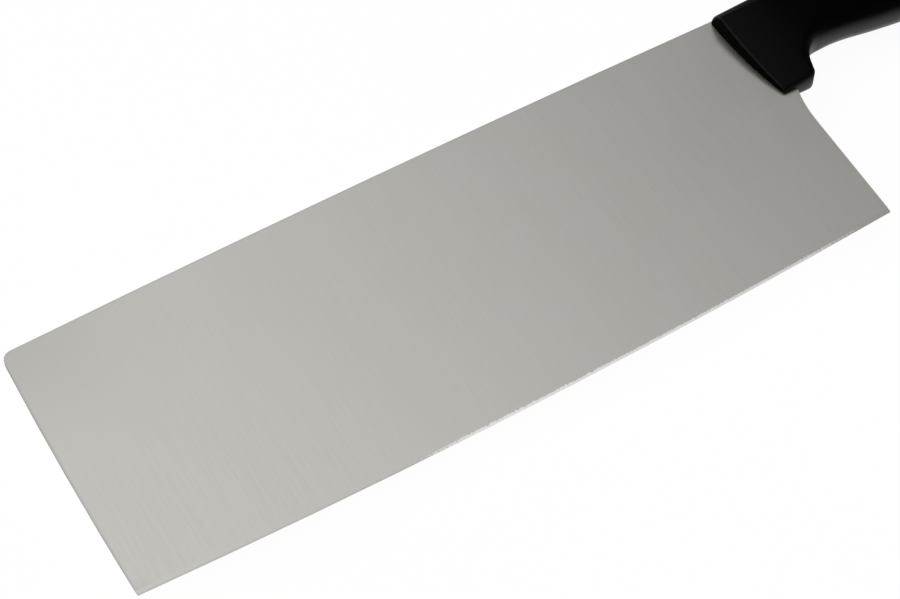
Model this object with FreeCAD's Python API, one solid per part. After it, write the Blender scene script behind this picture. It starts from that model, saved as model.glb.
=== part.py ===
import FreeCAD, Part
import math
import os

from FreeCAD import Vector

# A Chinese cleaver of two pieces: a stamped, flat-ground steel blade, and a handle moulded around its tang.
# Millimetres. +X runs from the tip to the butt, +Y from the cutting edge to the spine, and +Z up through
# the blade as the knife lies on its side. Both pieces are drawn about the point where the spine meets the
# handle, on the blade's middle plane, and then moved so that the origin lies under the middle of the knife.

# Blade plate
edge_length = 200.0            # cutting edge, from the tip corner to the heel corner
blade_height = 69.4            # spine to cutting edge, at the heel
tip_drop = 0.8                 # how much deeper the cutting edge lies at the tip
heel_reach = 5.8               # how far the heel stands behind the handle's front at the spine
spine_bow = 0.92               # rise of the spine between its ends
tip_bow = 0.55                 # how far the tip edge swells forward
belly = 2.4                    # how far the cutting edge swells below its ends
tip_corner_radius = 2.5        # rounded upper corner of the tip
neck_start = 38.0              # depth below the spine where the heel starts to curve into the tang
neck_lead = 16.0               # stiffness of that curve at the heel
tang_lead = 8.0                # stiffness of that curve at the tang

# Blade thickness and grinds
stock_thickness = 2.0          # sheet that the blade and its tang are stamped from
edge_thickness = 0.5           # what the flat grind leaves just above the cutting edge
grind_cover = 1.5              # how far the flat grind runs on under the handle
bevel_width = 1.0              # sharpened strip along the cutting edge
edge_land = 0.06               # blunt width left at the very edge

# Tang, hidden in the handle
shoulder_start = 3.0           # the spine runs this far into the handle before it steps down
shoulder_end = 16.0            # where the step reaches the top of the tang
tang_start = 24.0              # where the neck's curve reaches the bottom of the tang
tang_top = 4.5                 # depth of the tang's top edge below the spine, at its root
tang_height = 8.5              # height of the tang at its root
tang_end_top = 7.0             # depth of the tang's top edge below the spine, at its end
tang_end_height = 7.5          # height of the tang at its end
tang_end_cover = 24.0          # handle left beyond the tang's end
tang_end_radius = 3.0
key_hole_count = 3             # holes that the handle's plastic flows through
key_hole_diameter = 4.5
key_hole_margin = 12.0         # from the tang's straight ends to the outer holes

# Handle
handle_length = 128.0          # from the front at the spine to the butt
grip_thickness = 15.0
grip_depth = 22.4              # depth of the grip's belly below the spine
grip_round = 5.0               # rounding of the grip's lower edges
notch_round = 2.6              # rounding of the finger notch's edges
guard_length = 14.0            # from the handle's front at the spine to the back of the guard
guard_depth = 28.1             # depth of the guard's underside below the spine
guard_thickness = 4.4          # thickness of the guard's foot
guard_round = 1.7              # rounding of the guard's edges
guard_corner_extra = 0.25      # how much rounder the guard's back corner is than its edges
draw_in_start = 26.5           # how far behind the front, at the spine's height, the sides start to draw in
butt_depth = 30.3              # depth of the beak at the butt below the spine
back_rise = 0.9                # highest place of the handle's back above the spine
back_peak = 35.0               # distance of that place behind the front
back_radius = 800.0            # arch of the handle's back
front_lean = 3.5               # how far the front's lower end stands behind its upper end
front_bulge = 0.95             # swell of the front towards the tip
front_edge_round = 0.5         # rounding of the front's lower edges
front_crown_round = 1.0        # rounding of the front's edge at the back of the handle
cut_overrun = 15.0             # how far a cutting shape reaches past what it cuts

# Lower outline of the handle: points, and headings in degrees
foot_point_share = (0.571, 0.995)                            # of the guard's length and depth
foot_heading = 2
corner_point_share = (0.932, 0.983)                          # of the same, before rounding
corner_headings = (5, 80)                                    # before and after the corner
notch_point_share = (1.0, 0.843)                             # of the guard's length and depth
notch_heading = 70
grip_point_shares = ((0.16, 0.8), (0.332, 0.927), (0.5, 1.0), (0.703, 0.974))      # of its length and depth
grip_headings = (-2, -7, 0, -3)
butt_point_shares = ((0.836, 0.875), (0.914, 1.0), (1.0, 0.677), (0.977, -0.07))   # of its length and depth
butt_headings = (-34, 3, 93, 100)
match_share = 0.001                                          # of a size, within which two places are one


def flat(x, y):
    """A point of the blade's middle plane."""
    return Vector(x, y, 0)


def line(*points):
    """Straight edges from point to point."""
    return [Part.LineSegment(start, end).toShape() for start, end in zip(points, points[1:])]


def arc(start, middle, end):
    """A circular edge through three points."""
    return Part.Arc(start, middle, end).toShape()


def curve(start, start_lead, end_lead, end):
    """A smooth edge that leaves and arrives along its two leads."""
    bezier = Part.BezierCurve()
    bezier.setPoles([start, start + start_lead, end - end_lead, end])
    return bezier.toShape()


def left_of(along):
    """Unit vector to the left of a direction in the middle plane."""
    return Vector(-along.y, along.x, 0).normalize()


def bowed(start, end, bow):
    """A circular edge that swells to its left by the bow."""
    return arc(start, (start + end) * 0.5 + left_of(end - start) * bow, end)


def bow_circle(start, end, bow):
    """Centre and radius of that circular edge."""
    radius = ((end - start).Length ** 2 / 4 + bow ** 2) / (2 * bow)
    return (start + end) * 0.5 - left_of(end - start) * (radius - bow), radius


def arc_along(start, aim, end):
    """A circular edge that leaves along its aim, or a straight one where its end lies dead ahead."""
    chord = end - start
    turn = math.atan2(aim.x * chord.y - aim.y * chord.x, aim.dot(chord))
    bow = -chord.Length / 2 * math.tan(turn / 2)
    if abs(bow) < chord.Length * match_share:
        return line(start, end)[0]
    return bowed(start, end, bow)


def paired_arcs(start, aim, end, end_aim):
    """Two arcs that run smoothly into each other, from one point and heading to the next."""
    span = end - start
    reach, spread = span.dot(aim + end_aim), 2 - 2 * aim.dot(end_aim)
    if spread < match_share:
        lead = span.dot(span) / (2 * reach)
    else:
        lead = (math.sqrt(reach ** 2 + spread * span.dot(span)) - reach) / spread
    before, after = start + aim * lead, end - end_aim * lead
    joint = (before + after) * 0.5
    return [arc_along(start, aim, joint), arc_along(joint, (after - before).normalize(), end)]


def plate(edges, thickness):
    """A plate of the outline, with half its thickness on each side of the middle plane."""
    solid = Part.Face(Part.Wire(edges)).extrude(Vector(0, 0, thickness))
    solid.translate(Vector(0, 0, -thickness / 2))
    return solid


def both_sides(tool):
    """The cutting shape and its mirror image below the middle plane."""
    return [tool, tool.mirror(Vector(0, 0, 0), Vector(0, 0, 1))]


def upright_edges(solid, corners):
    """The edges that stand on these corners of the outline."""
    found = []
    for edge in solid.Edges:
        start, end = edge.Vertexes[0].Point, edge.Vertexes[-1].Point
        for corner in corners:
            near = max((flat(point.x, point.y) - corner).Length for point in (start, end))
            if near < stock_thickness * match_share and abs(start.z - end.z) > 0:
                found.append(edge)
    return found


def front_point(y):
    """Point of the handle's front at this height."""
    centre, radius = bow_circle(flat(front_lean, -guard_depth), flat(0, 0), front_bulge)
    return flat(centre.x - math.sqrt(radius ** 2 - (y - centre.y) ** 2), y)


def belly_point():
    """Lowest point of the grip's belly."""
    along, down = grip_point_shares[2]
    return flat(along * handle_length, -down * grip_depth)


def aim_of(heading):
    """Unit vector of a heading."""
    turn = math.radians(heading)
    return flat(math.cos(turn), math.sin(turn))


def outline_nodes(point_shares, headings, rounding, length, depth):
    """Points of the lower outline, each with its direction and the rounding of the edge there."""
    nodes = []
    for (along, down), heading in zip(point_shares, headings):
        nodes.append((flat(along * length, -down * depth), aim_of(heading), rounding))
    return nodes


def guard_corner():
    """Both ends of the guard's rounded back corner."""
    along, down = corner_point_share
    sharp = flat(along * guard_length, -down * guard_depth)
    before, after = [aim_of(heading) for heading in corner_headings]
    turn = math.radians(corner_headings[1] - corner_headings[0])
    setback = (guard_round + guard_corner_extra) * math.tan(turn / 2)
    return [(sharp - before * setback, before, guard_round), (sharp + after * setback, after, guard_round)]


def underside():
    """The handle's lower outline, from the guard's foot to the top of the butt, and its rounding."""
    nodes = outline_nodes([foot_point_share], [foot_heading], guard_round, guard_length, guard_depth)
    nodes += guard_corner()
    nodes += outline_nodes([notch_point_share], [notch_heading], notch_round, guard_length, guard_depth)
    nodes += outline_nodes(grip_point_shares, grip_headings, grip_round, handle_length, grip_depth)
    nodes += outline_nodes(butt_point_shares, butt_headings, grip_round, handle_length, butt_depth)
    edges, roundings = [], [(nodes[0][0], nodes[0][2])]
    for (start, aim, rounding), (end, end_aim, end_rounding) in zip(nodes, nodes[1:]):
        pair = paired_arcs(start, aim, end, end_aim)
        joint = pair[0].valueAt(pair[0].LastParameter)
        edges += pair
        roundings += [(joint, (rounding + end_rounding) / 2), (end, end_rounding)]
    return edges, roundings


def foot_lead():
    """The straight edge under the guard, carried on in front of the handle."""
    foot = underside()[1][0][0]
    start_y = foot.y - math.tan(math.radians(foot_heading)) * (foot.x + cut_overrun)
    return line(flat(-cut_overrun, start_y), foot)


def handle_side_block():
    """The handle's side outline as a thick block, carried on in front of the handle and above its back."""
    edges, roundings = underside()
    lead, butt_top = foot_lead(), roundings[-1][0]
    start, top = lead[0].Vertexes[0].Point, back_rise + cut_overrun
    edges = lead + edges + line(butt_top, flat(butt_top.x, top), flat(start.x, top), start)
    return plate(edges, grip_thickness * 2)


def behind_front_block():
    """Everything behind the handle's front."""
    top, low = back_rise + cut_overrun, -guard_depth - cut_overrun
    back, bottom = handle_length + cut_overrun, -butt_depth - cut_overrun * 2
    edges = [arc(front_point(top), front_point(-guard_depth / 2), front_point(low))]
    edges += line(front_point(low), flat(front_point(low).x, bottom), flat(back, bottom))
    edges += line(flat(back, bottom), flat(back, top), front_point(top))
    return plate(edges, grip_thickness * 2)


def handle_outline_block():
    """Everything inside the handle's side outline, front and underside included."""
    return handle_side_block().common(behind_front_block())


def arched_half():
    """Upper half of the handle's stock: a round back that follows the arch, over flat sides."""
    half = grip_thickness / 2
    slant = half * math.sqrt(0.5)
    centre, crown = flat(back_peak, back_rise - back_radius), flat(back_peak, back_rise)
    spring, low = crown + Vector(0, -half, half), -butt_depth - guard_depth
    edges = [arc(crown, crown + Vector(0, slant - half, slant), spring)]
    edges += line(spring, Vector(back_peak, low, half), flat(back_peak, low), crown)
    profile = Part.Face(Part.Wire(edges))
    ahead = math.degrees(math.asin((back_peak + cut_overrun) / back_radius))
    behind = math.degrees(math.asin((handle_length + cut_overrun - back_peak) / back_radius))
    profile.rotate(centre, Vector(0, 0, 1), -behind)
    return profile.revolve(centre, Vector(0, 0, 1), ahead + behind)


def draw_in():
    """What thins the front and guard on one side: the outside of a cylinder that touches the flat side."""
    half = grip_thickness / 2
    start, end = flat(draw_in_start, 0), belly_point()
    along = (end - start).normalize()
    down = -left_of(along)
    reach, inset = (front_point(-guard_depth) - start).dot(down), half - guard_thickness / 2
    radius = (reach ** 2 + inset ** 2) / (2 * inset)
    base = start - along * (draw_in_start + cut_overrun) + Vector(0, 0, half - radius)
    length = (end - start).Length + draw_in_start + cut_overrun * 2
    across, up = down * (reach + cut_overrun), Vector(0, 0, radius * 2)
    corners = [base, base + across, base + across + up, base + up]
    block = Part.Face(Part.Wire(line(*corners, corners[0]))).extrude(along * length)
    return block.cut(Part.makeCylinder(radius, length, base, along))


def rounded(solid, edge_radii):
    """The solid with some of its edges rounded, each by a radius that changes from one end to the other."""
    document = FreeCAD.newDocument()
    base = document.addObject("Part::Feature", "base")
    base.Shape = solid
    fillet = document.addObject("Part::Fillet", "fillet")
    fillet.Base = base
    fillet.Edges = edge_radii
    document.recompute()
    shape = fillet.Shape.copy()
    FreeCAD.closeDocument(document.Name)
    return shape


def edge_ends(edge):
    """Start, middle and end of an edge, in the order of its parameter."""
    first, last = edge.FirstParameter, edge.LastParameter
    return [edge.valueAt(place) for place in (first, (first + last) / 2, last)]


def underside_radii(solid):
    """The edges along the handle's lower outline, with their radii from end to end."""
    edges, roundings = underside()
    outline = Part.Wire(foot_lead() + edges)
    near = grip_round * match_share

    def radius_at(point):
        return min(roundings, key=lambda place: (place[0] - point).Length)[1]

    chosen = []
    for number, edge in enumerate(solid.Edges, 1):
        places = edge_ends(edge)
        ends = [flat(place.x, place.y) for place in places]
        on_outline = all(Part.Vertex(end).distToShape(outline)[0] < near for end in ends)
        straight_across = (ends[0] - ends[2]).Length < near
        if on_outline and places[1].z > near and not straight_across:
            chosen.append((number, radius_at(ends[0]), radius_at(ends[2])))
    return chosen


def front_radii(solid):
    """The edges around the handle's front, rounded more at the back than along the sides."""
    near = front_edge_round * match_share
    half = grip_thickness / 2

    def radius_at(point):
        share = max(0.0, point.y + half) / half
        return front_edge_round + (front_crown_round - front_edge_round) * share ** 2

    chosen = []
    for number, edge in enumerate(solid.Edges, 1):
        places = edge_ends(edge)
        on_front = all(abs(place.x - front_point(place.y).x) < near for place in places)
        if on_front and places[1].z > near:
            chosen.append((number, radius_at(places[0]), radius_at(places[2])))
    return chosen


def handle_body():
    """The moulded handle without its cavity: thinned guard, arched grip and beaked butt, all rounded."""
    half = arched_half().common(handle_side_block()).cut(draw_in()).removeSplitter().Solids[0]
    half = rounded(half, underside_radii(half))
    half = half.common(behind_front_block()).Solids[0]
    half = rounded(half, front_radii(half))
    return half.fuse(half.mirror(Vector(0, 0, 0), Vector(0, 0, 1))).removeSplitter()


def edge_corners():
    """The two ends of the cutting edge: at the heel and at the tip."""
    return flat(heel_reach, -blade_height), flat(heel_reach - edge_length, -blade_height - tip_drop)


def blade_outline():
    """The stamped outline: spine, shoulder, tang, neck, heel, cutting edge and tip."""
    heel_low, tip_low = edge_corners()
    tip_top, heel_top = flat(tip_low.x, 0), flat(heel_reach, -neck_start)
    tang_end = handle_length - tang_end_cover
    shoulder, tang_root = flat(shoulder_start, 0), flat(shoulder_end, -tang_top)
    tang_low = flat(tang_start, -tang_top - tang_height)
    end_top, end_low = flat(tang_end, -tang_end_top), flat(tang_end, -tang_end_top - tang_end_height)
    shoulder_lead = flat((shoulder_end - shoulder_start) / 2, 0)
    edges = [bowed(tip_top, flat(0, 0), spine_bow)]
    edges += line(flat(0, 0), shoulder)
    edges.append(curve(shoulder, shoulder_lead, shoulder_lead, tang_root))
    edges += line(tang_root, end_top, end_low, tang_low)
    edges.append(curve(tang_low, flat(-tang_lead, 0), flat(0, -neck_lead), heel_top))
    edges += line(heel_top, heel_low)
    edges.append(bowed(heel_low, tip_low, belly))
    edges.append(bowed(tip_low, tip_top, tip_bow))
    return Part.__sortEdges__(edges), [tip_top], [end_top, end_low]


def key_holes():
    """Round holes through the tang, spaced evenly along it."""
    first, last = tang_start + key_hole_margin, handle_length - tang_end_cover - key_hole_margin
    root_y, end_y = -tang_top - tang_height / 2, -tang_end_top - tang_end_height / 2
    holes = []
    for number in range(key_hole_count):
        x = first + (last - first) * number / max(1, key_hole_count - 1)
        along = (x - shoulder_end) / (handle_length - tang_end_cover - shoulder_end)
        y = root_y + (end_y - root_y) * along
        base = Vector(x, y, -stock_thickness)
        holes.append(Part.makeCylinder(key_hole_diameter / 2, stock_thickness * 2, base))
    return holes


def grind_tool():
    """What the flat grind takes off one side: a wedge from nothing at the spine, to inside the handle."""
    top, low = spine_bow, -blade_height - tip_drop - belly
    start, end = heel_reach - edge_length - cut_overrun, heel_reach + cut_overrun
    slope = (stock_thickness - edge_thickness) / 2 / (top - low)
    low_over = low - cut_overrun
    corners = [
        Vector(start, top, stock_thickness / 2),
        Vector(start, low_over, stock_thickness / 2 - slope * (top - low_over)),
        Vector(start, low_over, stock_thickness),
        Vector(start, top, stock_thickness),
    ]
    wedge = Part.Face(Part.Wire(line(*corners, corners[0]))).extrude(Vector(end - start, 0, 0))
    unground = handle_outline_block()
    unground.translate(flat(grind_cover, grind_cover))
    return wedge.cut(unground)


def bevel_tool():
    """What sharpening takes off one side: a thin cone along the arc of the cutting edge."""
    heel_low, tip_low = edge_corners()
    centre, radius = bow_circle(heel_low, tip_low, belly)
    aim = ((heel_low + tip_low) * 0.5 - centre).normalize()
    slope = (edge_thickness - edge_land) / 2 / bevel_width
    inner, outer = bevel_width * 2, bevel_width
    corners = [
        centre + aim * (radius + outer) + Vector(0, 0, edge_land / 2 - slope * outer),
        centre + aim * (radius - inner) + Vector(0, 0, edge_land / 2 + slope * inner),
        centre + aim * (radius - inner) + Vector(0, 0, stock_thickness),
        centre + aim * (radius + outer) + Vector(0, 0, stock_thickness),
    ]
    profile = Part.Face(Part.Wire(line(*corners, corners[0])))
    sweep = 2 * math.degrees(math.asin((edge_length / 2 + cut_overrun) / radius))
    profile.rotate(centre, Vector(0, 0, 1), -sweep / 2)
    return profile.revolve(centre, Vector(0, 0, 1), sweep)


def blade():
    """The blade with its tang: stamped, ground and sharpened, its faces split where the handle starts."""
    outline, tip_corners, tang_corners = blade_outline()
    solid = plate(outline, stock_thickness)
    solid = solid.makeFillet(tip_corner_radius, upright_edges(solid, tip_corners))
    solid = solid.makeFillet(tang_end_radius, upright_edges(solid, tang_corners))
    solid = solid.cut(key_holes())
    solid = solid.cut(both_sides(grind_tool()))
    solid = solid.cut(both_sides(bevel_tool()))
    covered = handle_outline_block()
    return solid.cut(covered).fuse(solid.common(covered)).Solids[0]


def handle(blade_solid):
    """The handle moulded onto the blade: its plastic fills the holes of the tang."""
    return handle_body().cut(blade_solid).Solids[0]


blade_solid = blade()
pieces = {"blade": blade_solid, "handle": handle(blade_solid)}

box = Part.makeCompound(list(pieces.values())).optimalBoundingBox()
to_frame = Vector(-box.Center.x, -box.Center.y, -box.ZMin)

os.makedirs("parts", exist_ok=True)
for name, solid in pieces.items():
    solid.translate(to_frame)
    solid.exportStep("parts/" + name + ".step")
    print(name, solid.isValid(), solid.Volume)
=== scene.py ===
"""Looks of a Chinese cleaver: satin-ground steel blade, moulded black handle and a plain white studio.

Everything is in metres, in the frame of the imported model: +X from the tip to the butt, +Y from the
cutting edge to the spine, +Z up through the blade as the knife lies on its side.
"""
import logging
import math
from dataclasses import dataclass, field
from enum import Enum
from typing import Any, Dict, Optional, Tuple, Union

import bmesh
import bpy
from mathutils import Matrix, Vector


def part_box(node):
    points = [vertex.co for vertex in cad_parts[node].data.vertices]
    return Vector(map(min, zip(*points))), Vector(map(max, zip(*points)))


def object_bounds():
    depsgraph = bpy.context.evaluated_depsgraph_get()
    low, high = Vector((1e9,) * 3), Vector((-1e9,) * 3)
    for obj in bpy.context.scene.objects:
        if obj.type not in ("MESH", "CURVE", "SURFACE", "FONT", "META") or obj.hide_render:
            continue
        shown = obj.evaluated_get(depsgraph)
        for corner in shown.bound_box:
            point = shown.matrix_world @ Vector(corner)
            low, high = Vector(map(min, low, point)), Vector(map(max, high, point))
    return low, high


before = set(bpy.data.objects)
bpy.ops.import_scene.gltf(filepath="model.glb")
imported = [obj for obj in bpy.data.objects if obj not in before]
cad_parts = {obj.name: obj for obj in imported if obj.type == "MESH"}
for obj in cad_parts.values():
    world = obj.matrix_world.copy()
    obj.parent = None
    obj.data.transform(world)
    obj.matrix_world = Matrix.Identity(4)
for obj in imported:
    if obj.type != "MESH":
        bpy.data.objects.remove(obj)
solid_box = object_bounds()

MM = 0.001
QUARTER_TURN = 90.0
OPAQUE = 1.0
NOISE_SCALE = 1.0
NOISE_LAYERS = 2.0
NOISE_MIDDLE = 0.5

Colour = Tuple[float, float, float]
Counts = Tuple[float, float, float]
Steps = Tuple[float, float]
Number = Union[float, "Value"]
SocketKey = Union[int, str]

log = logging.getLogger("cleaver")


class Maths(Enum):
    """Operations of the Math node that the finishes use."""

    ADD = "ADD"
    SUBTRACT = "SUBTRACT"
    MULTIPLY = "MULTIPLY"
    DIVIDE = "DIVIDE"
    SQUARE_ROOT = "SQRT"
    ABSOLUTE = "ABSOLUTE"
    MAXIMUM = "MAXIMUM"


class Value:
    """A number socket that takes part in Python arithmetic."""

    def __init__(self, bench: "NodeBench", socket: bpy.types.NodeSocket) -> None:
        """Wrap one output socket of a bench's tree."""
        self.bench = bench
        self.socket = socket

    def _join(self, operation: Maths, *numbers: Number) -> "Value":
        """Add one Math node over one or two numbers or values."""
        made = self.bench.node("ShaderNodeMath", {"operation": operation.value}, dict(enumerate(numbers)))
        return Value(self.bench, made.outputs[0])

    def __add__(self, other: Number) -> "Value":
        """This value plus another."""
        return self._join(Maths.ADD, self, other)

    __radd__ = __add__

    def __sub__(self, other: Number) -> "Value":
        """This value less another."""
        return self._join(Maths.SUBTRACT, self, other)

    def __rsub__(self, other: Number) -> "Value":
        """A number less this value."""
        return self._join(Maths.SUBTRACT, other, self)

    def __mul__(self, other: Number) -> "Value":
        """This value times another."""
        return self._join(Maths.MULTIPLY, self, other)

    __rmul__ = __mul__

    def __truediv__(self, other: Number) -> "Value":
        """This value over another."""
        return self._join(Maths.DIVIDE, self, other)

    def __rtruediv__(self, other: Number) -> "Value":
        """A number over this value."""
        return self._join(Maths.DIVIDE, other, self)

    def __abs__(self) -> "Value":
        """Size of this value without its sign."""
        return self._join(Maths.ABSOLUTE, self)

    def root(self) -> "Value":
        """Square root of this value."""
        return self._join(Maths.SQUARE_ROOT, self)

    def at_least(self, floor: Number) -> "Value":
        """This value, or a floor where it is lower."""
        return self._join(Maths.MAXIMUM, self, floor)

    def rising(self, steps: Steps) -> "Value":
        """Smooth step of this value.

        Args:
            steps: where the step starts, at 0, and where it ends, at 1. An end below the start makes
                the step fall.

        Returns:
            A value from 0 to 1.
        """
        start, end = steps
        made = self.bench.node(
            "ShaderNodeMapRange",
            {"interpolation_type": "SMOOTHSTEP"},
            {"Value": self, "From Min": start, "From Max": end},
        )
        return Value(self.bench, made.outputs["Result"])


def between(first: Number, second: Number, share: Number) -> Number:
    """What lies a share of the way from the first number or value to the second."""
    return first + (second - first) * share


class NodeBench:
    """Adds nodes to the tree of one material or world, and links what feeds them."""

    def __init__(self, holder: Union[bpy.types.Material, bpy.types.World]) -> None:
        """Start with an empty tree.

        Args:
            holder: the material or world that the tree belongs to.
        """
        holder.use_nodes = True
        self.tree = holder.node_tree
        self.tree.nodes.clear()

    def node(
        self,
        kind: str,
        settings: Optional[Dict[str, Any]] = None,
        sockets: Optional[Dict[SocketKey, Any]] = None,
    ) -> bpy.types.Node:
        """Add one node.

        Args:
            kind: type of the node.
            settings: properties of the node, which are set first.
            sockets: values or links of its inputs, by place, identifier or name.

        Returns:
            The new node.
        """
        made = self.tree.nodes.new(kind)
        for name, setting in (settings or {}).items():
            setattr(made, name, setting)
        for key, fed in (sockets or {}).items():
            self.feed(self.find(made.inputs, key), fed)
        return made

    def find(self, sockets: bpy.types.bpy_prop_collection, key: SocketKey) -> bpy.types.NodeSocket:
        """Find one socket of a node.

        Args:
            sockets: the node's inputs or its outputs.
            key: place, identifier or name of the socket.

        Returns:
            The socket.
        """
        for candidate in sockets:
            if candidate.identifier == key:
                return candidate
        return sockets[key]

    def feed(self, socket: bpy.types.NodeSocket, fed: Any) -> None:
        """Link something to an input, or set what the input holds.

        Args:
            socket: the input.
            fed: a value or an output to link, or a number, vector or colour to set.
        """
        if isinstance(fed, Value):
            fed = fed.socket
        if isinstance(fed, bpy.types.NodeSocket):
            self.tree.links.new(fed, socket)
        elif socket.type == "RGBA":
            socket.default_value = (*fed, OPAQUE)
        else:
            socket.default_value = fed

    def place(self) -> bpy.types.NodeSocket:
        """Place on the piece, in metres."""
        return self.node("ShaderNodeTexCoord").outputs["Object"]

    def axes(self, vector: bpy.types.NodeSocket) -> Tuple[Value, Value, Value]:
        """The three parts of a vector."""
        parts = self.node("ShaderNodeSeparateXYZ", sockets={0: vector}).outputs
        return Value(self, parts["X"]), Value(self, parts["Y"]), Value(self, parts["Z"])

    def facing(self) -> Tuple[Value, Value, Value]:
        """The three parts of the surface's own direction on the piece."""
        return self.axes(self.node("ShaderNodeTexCoord").outputs["Normal"])

    def noise(self, vector: bpy.types.NodeSocket, counts: Counts) -> Value:
        """Noise stretched along the axes.

        Args:
            vector: place on the piece.
            counts: how many grains there are to a metre along each axis.

        Returns:
            A value around a half.
        """
        mapped = self.node("ShaderNodeMapping", sockets={"Vector": vector, "Scale": counts}).outputs[0]
        sockets = {"Vector": mapped, "Scale": NOISE_SCALE, "Detail": NOISE_LAYERS}
        return Value(self, self.node("ShaderNodeTexNoise", sockets=sockets).outputs[0])

    def mix(self, share: Number, first: Any, second: Any) -> bpy.types.NodeSocket:
        """A colour between two colours.

        Args:
            share: how much of the second colour there is.
            first: colour or colour output at 0.
            second: colour or colour output at 1.

        Returns:
            The mixed colour's output.
        """
        sockets = {"Factor_Float": share, "A_Color": first, "B_Color": second}
        made = self.node("ShaderNodeMix", {"data_type": "RGBA"}, sockets)
        return self.find(made.outputs, "Result_Color")

    def relief(self, height: Value, depth: float, strength: float) -> bpy.types.NodeSocket:
        """Fine relief that turns the surface.

        Args:
            height: height of the relief, from 0 to 1.
            depth: size of the relief in metres.
            strength: how much of the relief shows.

        Returns:
            The output for a shader's Normal.
        """
        sockets = {"Strength": strength, "Distance": depth, "Height": height}
        return self.node("ShaderNodeBump", sockets=sockets).outputs[0]

    def surface(self, sockets: Dict[SocketKey, Any]) -> None:
        """Add a material's surface shader, fed as given, and its output."""
        shader = self.node("ShaderNodeBsdfPrincipled", sockets=sockets)
        self.node("ShaderNodeOutputMaterial", sockets={"Surface": shader.outputs[0]})


@dataclass(frozen=True)
class SteelMarks:
    """What the finish of the blade reads at each place.

    Attributes:
        along: place from the tip, at 0, to the heel, at 1.
        across: place from the edge, near 0, to the spine, at 4.
        rim: nearness to the outline at the tip and the spine.
        flat_side: 1 on the two sides, 0 on the cut rims.
        strip: 1 on the sharpened strip.
        streak: grinding lines.
        clouds: broad patches of tone.
        tints: patches of tint.
        whet_marks: short marks of sharpening.
    """

    along: Value
    across: Value
    rim: Value
    flat_side: Value
    strip: Value
    streak: Value
    clouds: Value
    tints: Value
    whet_marks: Value


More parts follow.
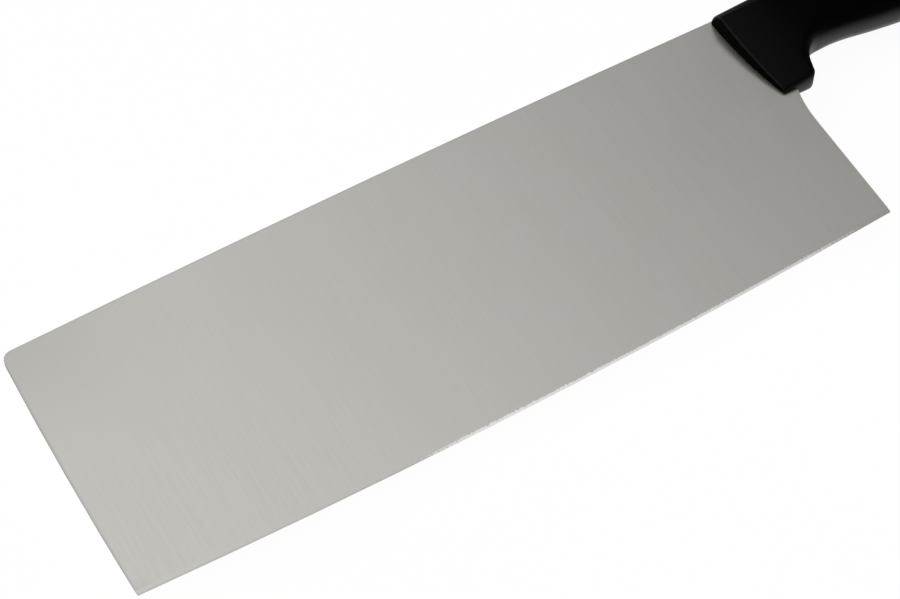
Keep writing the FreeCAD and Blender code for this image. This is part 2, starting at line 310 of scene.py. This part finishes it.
@dataclass(frozen=True)
class GroundSteel:
    """Satin steel, ground from the spine to the edge and sharpened along the edge.

    Steps along the blade count from 0 at the tip to 1 at the heel. Steps across it follow the thickness of
    the steel: near 0 on the edge, 1 where the sharpened strip ends and 4 at the spine.
    """

    # Tones of the ground sides, with a weak warm and cool tint.
    bright: Colour = (0.70, 0.686, 0.648)
    dull: Colour = (0.65, 0.637, 0.602)
    tone_steps: Steps = (0.30, 0.70)
    warm: Colour = (0.69, 0.663, 0.618)
    cool: Colour = (0.672, 0.676, 0.640)
    tint_share: float = 0.35
    cloud_counts: Counts = (34.0, 22.0, 22.0)
    tint_counts: Counts = (90.0, 70.0, 70.0)

    # Grinding lines from the spine to the edge, which show most low beside the tip.
    line_counts: Counts = (1300.0, 55.0, 55.0)
    fine_line_counts: Counts = (3600.0, 150.0, 150.0)
    fine_line_share: float = 0.45
    line_share: float = 0.70
    line_height: float = 0.0016 * MM
    line_strength: float = 0.25
    tip_line_gain: float = 2.0
    tip_line_steps: Steps = (0.40, 0.05)
    low_line_steps: Steps = (3.0, 1.2)

    # Outline of the blade; the colour of its sides is darker in a thin line along the tip and the spine.
    edge_length: float = 200.0 * MM
    spine_length: float = 194.2 * MM
    spine_bow: float = 0.92 * MM
    tip_height: float = 70.2 * MM
    tip_bow: float = 0.55 * MM
    tip_corner_radius: float = 2.5 * MM
    rim_tone: Colour = (0.56, 0.55, 0.517)
    rim_reach: float = 0.7 * MM
    rim_fade_share: float = 0.6

    # Painted shade: the steel's colour is darker at the upper and the lower corner of the tip.
    top_painted_shade_share: float = 0.65
    top_along_steps: Steps = (0.22, 0.0)
    top_across_steps: Steps = (2.4, 4.2)
    low_painted_shade_share: float = 0.8
    low_along_steps: Steps = (0.035, 0.0)
    low_across_steps: Steps = (1.30, 0.95)

    # Sharpened strip along the edge, with a painted highlight in its colour from about its middle to the
    # heel; elsewhere its colour is darker towards the heel.
    whetted_highlight: Colour = (0.97, 0.965, 0.945)
    whetted_by_tip: Colour = (0.68, 0.668, 0.632)
    whetted_by_heel: Colour = (0.53, 0.52, 0.50)
    whetted_tip_edge: Colour = (0.57, 0.56, 0.53)
    tip_edge_steps: Steps = (0.65, 0.15)
    whet_counts: Counts = (2600.0, 260.0, 260.0)
    whet_half: float = 0.25 * MM
    whet_wander: float = 0.9
    lit_steps: Steps = (0.80, 0.50)
    lit_from_steps: Steps = (0.34, 0.42)
    lit_to_steps: Steps = (0.96, 0.88)
    lit_wander: float = 0.16

    # Cut rims all round the plate.
    cut_edge: Colour = (0.17, 0.166, 0.16)
    cut_worn: Colour = (0.32, 0.314, 0.30)

    # How upright a surface points: what tells the sides from the cut rims, and the strip from the sides.
    side_steps: Steps = (0.60, 0.80)
    whet_steps: Steps = (0.9990, 0.9950)

    # Metal throughout, the roughness of each kind of surface, and what the marks add to it.
    metallic: float = 1.0
    roughness: float = 0.30
    whetted_roughness: float = 0.30
    cut_roughness: float = 0.48
    line_roughness: float = 0.06
    cloud_roughness: float = 0.05
    whet_roughness: float = 0.12

    def rim(self, x: Value, y: Value, low: Vector, high: Vector) -> Value:
        """Find how near a place lies to the outline at the tip and the spine.

        Args:
            x: place from the tip to the butt.
            y: place from the edge to the spine.
            low: lowest corner of the blade.
            high: highest corner of the blade.

        Returns:
            A value that grows from 0 inside to 1 on the outline.
        """
        half_spine = self.spine_length / 2
        half_tip = self.tip_height / 2
        along_spine = (x - (low.x + self.tip_bow + half_spine)) / half_spine
        along_tip = (y - (high.y - self.spine_bow - half_tip)) / half_tip
        below_spine = high.y - y - along_spine * along_spine * self.spine_bow
        behind_tip = x - low.x - along_tip * along_tip * self.tip_bow
        up = (self.tip_corner_radius - below_spine).at_least(0.0)
        out = (self.tip_corner_radius - behind_tip).at_least(0.0)
        inside = self.tip_corner_radius - (up * up + out * out).root()
        return inside.rising((self.rim_reach, 0.0))

    def marks(self, bench: NodeBench, low: Vector, high: Vector) -> SteelMarks:
        """Read the places, surfaces and grinding marks of the blade.

        Args:
            bench: bench of the finish.
            low: lowest corner of the blade.
            high: highest corner of the blade.

        Returns:
            The values that the finish is mixed from.
        """
        place = bench.place()
        x, y, z = bench.axes(place)
        _, _, up = bench.facing()
        upright = abs(up)
        flat_side = upright.rising(self.side_steps)
        lines = bench.noise(place, self.line_counts)
        fine_lines = bench.noise(place, self.fine_line_counts)
        return SteelMarks(
            along=(x - low.x) / self.edge_length,
            across=abs(z - (low.z + high.z) / 2) / self.whet_half,
            rim=self.rim(x, y, low, high),
            flat_side=flat_side,
            strip=upright.rising(self.whet_steps) * flat_side,
            streak=between(lines, fine_lines, self.fine_line_share),
            clouds=bench.noise(place, self.cloud_counts),
            tints=bench.noise(place, self.tint_counts),
            whet_marks=bench.noise(place, self.whet_counts),
        )

    def ground(self, bench: NodeBench, marks: SteelMarks) -> bpy.types.NodeSocket:
        """Mix the colour of the ground sides, with painted shade at the two corners of the tip.

        Args:
            bench: bench of the finish.
            marks: places and marks of the blade.

        Returns:
            The colour's output.
        """
        low_tip = marks.along.rising(self.tip_line_steps) * marks.across.rising(self.low_line_steps)
        tone = between(marks.clouds, marks.streak, self.line_share)
        tone = NOISE_MIDDLE + (tone - NOISE_MIDDLE) * (1 + low_tip * self.tip_line_gain)
        colour = bench.mix(tone.rising(self.tone_steps), self.dull, self.bright)
        tinted = bench.mix(marks.tints.rising(self.tone_steps), self.warm, self.cool)
        colour = bench.mix(self.tint_share, colour, tinted)

        # Painted shade darkens the colour at the tip's two corners; the thin rim line along the outline is
        # darker too.
        top_corner = marks.along.rising(self.top_along_steps) * marks.across.rising(self.top_across_steps)
        low_corner = marks.along.rising(self.low_along_steps) * marks.across.rising(self.low_across_steps)
        darkened = (
            top_corner * self.top_painted_shade_share,
            low_corner * self.low_painted_shade_share,
            marks.rim * (1 - marks.along * self.rim_fade_share),
        )
        for share in darkened:
            colour = bench.mix(share, colour, self.rim_tone)
        return colour

    def sharpened(self, bench: NodeBench, marks: SteelMarks) -> bpy.types.NodeSocket:
        """Mix the colour of the sharpened strip, with its painted highlight.

        Args:
            bench: bench of the finish.
            marks: places and marks of the blade.

        Returns:
            The colour's output.
        """
        wander = marks.whet_marks - NOISE_MIDDLE
        lit_along = marks.along + wander * self.lit_wander
        lit_across = marks.across + wander * self.whet_wander
        # Painted highlight: where lit, the strip's colour is near white.
        lit = lit_along.rising(self.lit_from_steps) * lit_along.rising(self.lit_to_steps)
        lit = lit * lit_across.rising(self.lit_steps)
        on_edge = marks.across.rising(self.tip_edge_steps)
        by_tip = bench.mix(on_edge, self.whetted_by_tip, self.whetted_tip_edge)
        unlit = bench.mix(marks.along, by_tip, self.whetted_by_heel)
        return bench.mix(lit, unlit, self.whetted_highlight)

    def roughness_over(self, marks: SteelMarks) -> Value:
        """Work out how rough the sides, the strip and the cut rims are.

        Args:
            marks: places and marks of the blade.

        Returns:
            The roughness.
        """
        ground = self.roughness + marks.streak * self.line_roughness + marks.clouds * self.cloud_roughness
        sharpened = self.whetted_roughness + marks.whet_marks * self.whet_roughness
        return between(self.cut_roughness, between(ground, sharpened, marks.strip), marks.flat_side)

    def material(self, low: Vector, high: Vector) -> bpy.types.Material:
        """Build the finish for the whole blade.

        Args:
            low: lowest corner of the blade.
            high: highest corner of the blade.

        Returns:
            The material.
        """
        made = bpy.data.materials.new("ground_steel")
        bench = NodeBench(made)
        marks = self.marks(bench, low, high)
        sides = bench.mix(marks.strip, self.ground(bench, marks), self.sharpened(bench, marks))
        cut_rims = bench.mix(marks.whet_marks, self.cut_edge, self.cut_worn)
        scratches = between(marks.streak, marks.whet_marks, marks.strip)
        sockets = {
            "Base Color": bench.mix(marks.flat_side, cut_rims, sides),
            "Roughness": self.roughness_over(marks),
            "Metallic": self.metallic,
            "Normal": bench.relief(scratches, self.line_height, self.line_strength),
        }
        bench.surface(sockets)
        return made


@dataclass(frozen=True)
class GripMarks:
    """What the finish of the handle reads at each place.

    Attributes:
        along: place from the front, at 0, to the butt, at 1.
        height: place from the side that it lies on, at 0, to the other, at 1.
        to_butt: how much the surface faces the butt, from -1 on the front to 1.
        to_back: how much the surface faces the back, from -1 on the underside to 1.
        bare: 0 on the front, where painted shade blackens the colour, 1 elsewhere.
        held_and_shaded: 1 beside the finger notch, where the plastic is rougher and painted shade darkens
            its colour.
        grain: moulded grain.
        clouds: broad patches of tone.
    """

    along: Value
    height: Value
    to_butt: Value
    to_back: Value
    bare: Value
    held_and_shaded: Value
    grain: Value
    clouds: Value


@dataclass(frozen=True)
class MouldedPlastic:
    """Matte black plastic with a fine moulded grain.

    Its colour carries painted shade: it is darkest beside the finger notch and black on the front, which is
    also dead matte. It is glossier where fingers rub its underside, and has a little shine on its round
    back and butt.
    """

    # Two blacks, the grain that mixes them, and the roughness and shine of the bare plastic.
    deep: Colour = (0.0004, 0.00045, 0.0004)
    greyed: Colour = (0.0036, 0.0038, 0.0037)
    tone_steps: Steps = (0.35, 0.75)
    grain_counts: Counts = (2400.0, 2400.0, 2400.0)
    cloud_counts: Counts = (55.0, 80.0, 80.0)
    grain_height: float = 0.010 * MM
    grain_strength: float = 0.3
    roughness: float = 0.62
    grain_roughness: float = 0.10
    cloud_roughness: float = 0.08
    gloss_level: float = 0.02

    # Stretch beside the finger notch: rougher, with less sheen, and with painted shade that darkens its
    # colour.
    held_from_steps: Steps = (-0.04, 0.20)
    held_to_steps: Steps = (0.60, 0.36)
    held_shade_share: float = 0.85
    held_roughness: float = 0.82

    # Dead matte front, whose colour painted shade turns to the deepest black, and the edge around it.
    front_steps: Steps = (-0.86, -0.97)
    edge_steps: Steps = (-0.22, -0.50)
    edge_reach_steps: Steps = (0.09, 0.05)

    # Round back and butt, and the underside that fingers rub up to a part of its height.
    turned_steps: Steps = (0.72, 0.98)
    rub_steps: Steps = (-0.70, -1.0)
    rub_height_steps: Steps = (0.74, 0.22)

    # How much of a glossy skin each of them has, and how rough that skin is.
    sheen: float = 0.09
    held_sheen: float = 0.01
    edge_sheen: float = 0.22
    turned_sheen: float = 0.30
    rubbed_sheen: float = 0.9
    sheen_roughness: float = 0.30

    def marks(self, bench: NodeBench, low: Vector, high: Vector) -> GripMarks:
        """Read the places, directions and grain of the handle.

        Args:
            bench: bench of the finish.
            low: lowest corner of the handle.
            high: highest corner of the handle.

        Returns:
            The values that the finish is mixed from.
        """
        place = bench.place()
        x, _, z = bench.axes(place)
        to_butt, to_back, _ = bench.facing()
        along = (x - low.x) / (high.x - low.x)
        return GripMarks(
            along=along,
            height=(z - low.z) / (high.z - low.z),
            to_butt=to_butt,
            to_back=to_back,
            bare=1 - to_butt.rising(self.front_steps),
            held_and_shaded=along.rising(self.held_from_steps) * along.rising(self.held_to_steps),
            grain=bench.noise(place, self.grain_counts),
            clouds=bench.noise(place, self.cloud_counts),
        )

    def colour(self, bench: NodeBench, marks: GripMarks) -> bpy.types.NodeSocket:
        """Mix the two blacks, with painted shade beside the finger notch and on the front.

        Args:
            bench: bench of the finish.
            marks: places and marks of the handle.

        Returns:
            The colour's output.
        """
        tone = ((marks.grain + marks.clouds) / 2).rising(self.tone_steps)
        # Painted shade: the colour goes to the deeper black beside the finger notch and to the greyer black
        # elsewhere.
        tone = between(tone, 1 - marks.held_and_shaded, self.held_shade_share)
        # Painted shade: the front's colour is the deepest black.
        return bench.mix(tone * marks.bare, self.deep, self.greyed)

    def roughness_over(self, marks: GripMarks) -> Value:
        """How rough the plastic is under its glossy skin."""
        rough = self.roughness + marks.grain * self.grain_roughness + marks.clouds * self.cloud_roughness
        return rough + marks.held_and_shaded * (self.held_roughness - self.roughness)

    def sheen_over(self, marks: GripMarks) -> Value:
        """Work out how much of the glossy skin there is.

        Args:
            marks: places and marks of the handle.

        Returns:
            A value from 0 to 1.
        """
        edge = marks.to_butt.rising(self.edge_steps) * marks.along.rising(self.edge_reach_steps)
        rubbed = marks.to_back.rising(self.rub_steps) * marks.height.rising(self.rub_height_steps)
        skin = between(self.sheen, self.held_sheen, marks.held_and_shaded)
        skin = between(skin, self.edge_sheen, edge) * marks.bare
        for turned in (marks.to_butt, marks.to_back):
            skin = between(skin, self.turned_sheen, turned.rising(self.turned_steps))
        return between(skin, self.rubbed_sheen, rubbed)

    def material(self, low: Vector, high: Vector) -> bpy.types.Material:
        """Build the finish for the whole handle.

        Args:
            low: lowest corner of the handle.
            high: highest corner of the handle.

        Returns:
            The material.
        """
        made = bpy.data.materials.new("moulded_plastic")
        bench = NodeBench(made)
        marks = self.marks(bench, low, high)
        sockets = {
            "Base Color": self.colour(bench, marks),
            "Roughness": self.roughness_over(marks),
            "Specular IOR Level": self.gloss_level,
            "Coat Weight": self.sheen_over(marks),
            "Coat Roughness": self.sheen_roughness,
            "Normal": bench.relief(marks.grain, self.grain_height, self.grain_strength),
        }
        bench.surface(sockets)
        return made


@dataclass(frozen=True)
class PaleFloor:
    """White studio floor, which glows so that next to no shadow shows on it."""

    white: Colour = (0.09, 0.09, 0.09)
    shade: Colour = (0.08, 0.08, 0.08)
    glow: Colour = (1.0, 1.0, 1.0)
    glow_strength: float = 0.945
    roughness: float = 0.9
    gloss_level: float = 0.0
    cloud_counts: Counts = (6.0, 6.0, 6.0)

    def material(self) -> bpy.types.Material:
        """Build the finish for the floor.

        Returns:
            The material.
        """
        made = bpy.data.materials.new("pale_floor")
        bench = NodeBench(made)
        clouds = bench.noise(bench.place(), self.cloud_counts)
        sockets = {
            "Base Color": bench.mix(clouds, self.shade, self.white),
            "Roughness": self.roughness,
            "Specular IOR Level": self.gloss_level,
            "Emission Color": self.glow,
            "Emission Strength": self.glow_strength,
        }
        bench.surface(sockets)
        return made


@dataclass
class CarriedPiece:
    """A piece whose solid already has the right shape, and which gets its finish here."""

    node: str
    finish: Union[GroundSteel, MouldedPlastic]

    def size(self) -> Vector:
        """Length, width and thickness in millimetres."""
        low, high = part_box(self.node)
        return (high - low) / MM

    def dress(self) -> None:
        """Put the finish on the solid."""
        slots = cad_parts[self.node].data.materials
        slots.clear()
        slots.append(self.finish.material(*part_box(self.node)))


@dataclass
class Studio:
    """White floor under a band of soft sky.

    The sky is bright from the tip's side to past overhead, dark further down on the butt's side, and half
    bright again near the horizon there. It is brightest in a band that runs from the tip to the butt.
    """

    # Round floor, just under the knife.
    floor_reach: float = 4.0
    floor_sides: int = 64
    floor_gap: float = 0.2 * MM
    # Sky along its aim, from 1 on the tip's horizon to -1 on the butt's.
    sky_aim: Vector = field(default_factory=lambda: Vector((-0.968, -0.252, 0.0)).normalized())
    sky_low: float = 0.02
    sky_high: float = 1.17
    sky_steps: Steps = (-0.590, -0.360)
    far_steps: Steps = (-0.72, -0.90)
    far_share: float = 0.5
    # Band of sky, by how far it lies towards the spine.
    band_middle: float = 0.20
    band_steps: Steps = (0.85, 0.28)
    beside_band: float = 0.35
    in_band: float = 1.0
    # What the viewer sees past the floor.
    backdrop: Colour = (1.0, 1.0, 1.0)

    def build(self) -> None:
        """Make the floor and the sky."""
        self.make_floor()
        self.make_sky()

    def make_floor(self) -> None:
        """Lay a round floor just under the knife."""
        shape = bmesh.new()
        bmesh.ops.create_circle(shape, cap_ends=True, segments=self.floor_sides, radius=self.floor_reach)
        lowest, _ = solid_box
        for vertex in shape.verts:
            vertex.co.z = lowest.z - self.floor_gap
        mesh = bpy.data.meshes.new("floor")
        shape.to_mesh(mesh)
        shape.free()
        mesh.materials.append(PaleFloor().material())
        floor = bpy.data.objects.new("floor", mesh)
        bpy.context.scene.collection.objects.link(floor)

    def make_sky(self) -> None:
        """Light everything from a soft sky, which the viewer sees as plain white."""
        world = bpy.data.worlds.new("studio")
        bench = NodeBench(world)
        direction = bench.node("ShaderNodeTexCoord").outputs["Generated"]
        sockets = {0: direction, 1: self.sky_aim}
        dot = bench.node("ShaderNodeVectorMath", {"operation": "DOT_PRODUCT"}, sockets)
        aimed = Value(bench, dot.outputs["Value"])
        _, to_spine, _ = bench.axes(direction)
        band = abs(to_spine - self.band_middle).rising(self.band_steps)
        lift = aimed.rising(self.sky_steps) * between(self.beside_band, self.in_band, band)
        lift = lift + aimed.rising(self.far_steps) * self.far_share
        strength = between(self.sky_low, self.sky_high, lift)
        sky = bench.node("ShaderNodeBackground", sockets={"Strength": strength})
        seen = bench.node("ShaderNodeBackground", sockets={"Color": self.backdrop})
        viewer = bench.node("ShaderNodeLightPath").outputs["Is Camera Ray"]
        both = bench.node("ShaderNodeMixShader", sockets={0: viewer, 1: sky.outputs[0], 2: seen.outputs[0]})
        bench.node("ShaderNodeOutputWorld", sockets={"Surface": both.outputs[0]})
        bpy.context.scene.world = world


@dataclass
class Viewpoint:
    """Camera over the cutting edge, on the tip's side, that looks down onto the blade.

    It is turned towards the butt, and tilted down from level, both in degrees.
    """

    place: Vector = field(default_factory=lambda: Vector((-229.50, -286.84, 515.00)) * MM)
    turn: float = 30.216
    tilt: float = 57.037
    lens: float = 104.0
    sensor: float = 36.0

    def build(self) -> None:
        """Make the camera and look through it."""
        data = bpy.data.cameras.new("viewpoint")
        data.lens = self.lens
        data.sensor_width = self.sensor
        camera = bpy.data.objects.new("viewpoint", data)
        camera.location = self.place
        camera.rotation_euler = (math.radians(QUARTER_TURN - self.tilt), 0.0, -math.radians(self.turn))
        bpy.context.scene.collection.objects.link(camera)
        bpy.context.scene.camera = camera


def main() -> None:
    """Dress the two pieces, then set up the studio and the camera."""
    logging.basicConfig(level=logging.INFO, format="%(name)s %(message)s")
    bpy.context.scene.view_settings.view_transform = "Standard"
    for piece in (CarriedPiece("blade", GroundSteel()), CarriedPiece("handle", MouldedPlastic())):
        piece.dress()
        log.info("%s: %.1f by %.1f by %.1f mm", piece.node, *piece.size())
    studio = Studio()
    studio.build()
    log.info("floor: %.1f m across", studio.floor_reach * 2)
    viewpoint = Viewpoint()
    viewpoint.build()
    log.info("viewpoint: lens of %.0f mm", viewpoint.lens)


if __name__ == "__main__":
    main()
